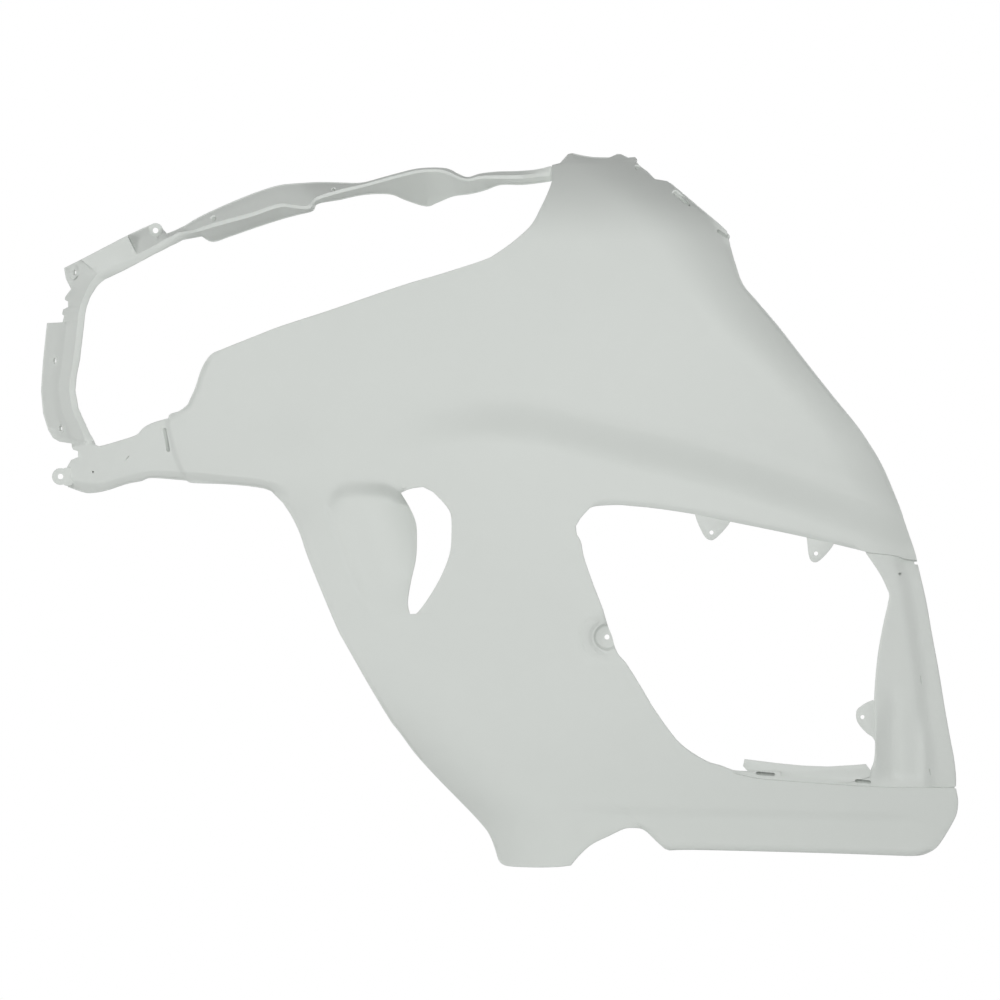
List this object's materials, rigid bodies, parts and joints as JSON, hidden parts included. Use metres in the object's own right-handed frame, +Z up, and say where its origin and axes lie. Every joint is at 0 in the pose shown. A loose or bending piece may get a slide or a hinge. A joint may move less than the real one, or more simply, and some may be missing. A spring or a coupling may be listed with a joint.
{
  "type": "motorcycle fairing",
  "caption": "Front side fairing shell for a touring motorcycle, with headlamp frame, ridge, air vent, engine opening and fixing lugs.",
  "frame": {"origin": "centre of the side screw's bore, on its seat's outer face", "axes": "+X towards the rear of the bike, +Y from the outer face towards the middle of the bike, +Z up as on the bike"},
  "size_m": [0.9172, 0.3115, 0.7145],
  "materials": {
    "shell": "semi-gloss, unpainted off-white moulding"
  },
  "bodies": {
    "root": {"fairing_shell": "shell"}
  },
  "joints": []
}
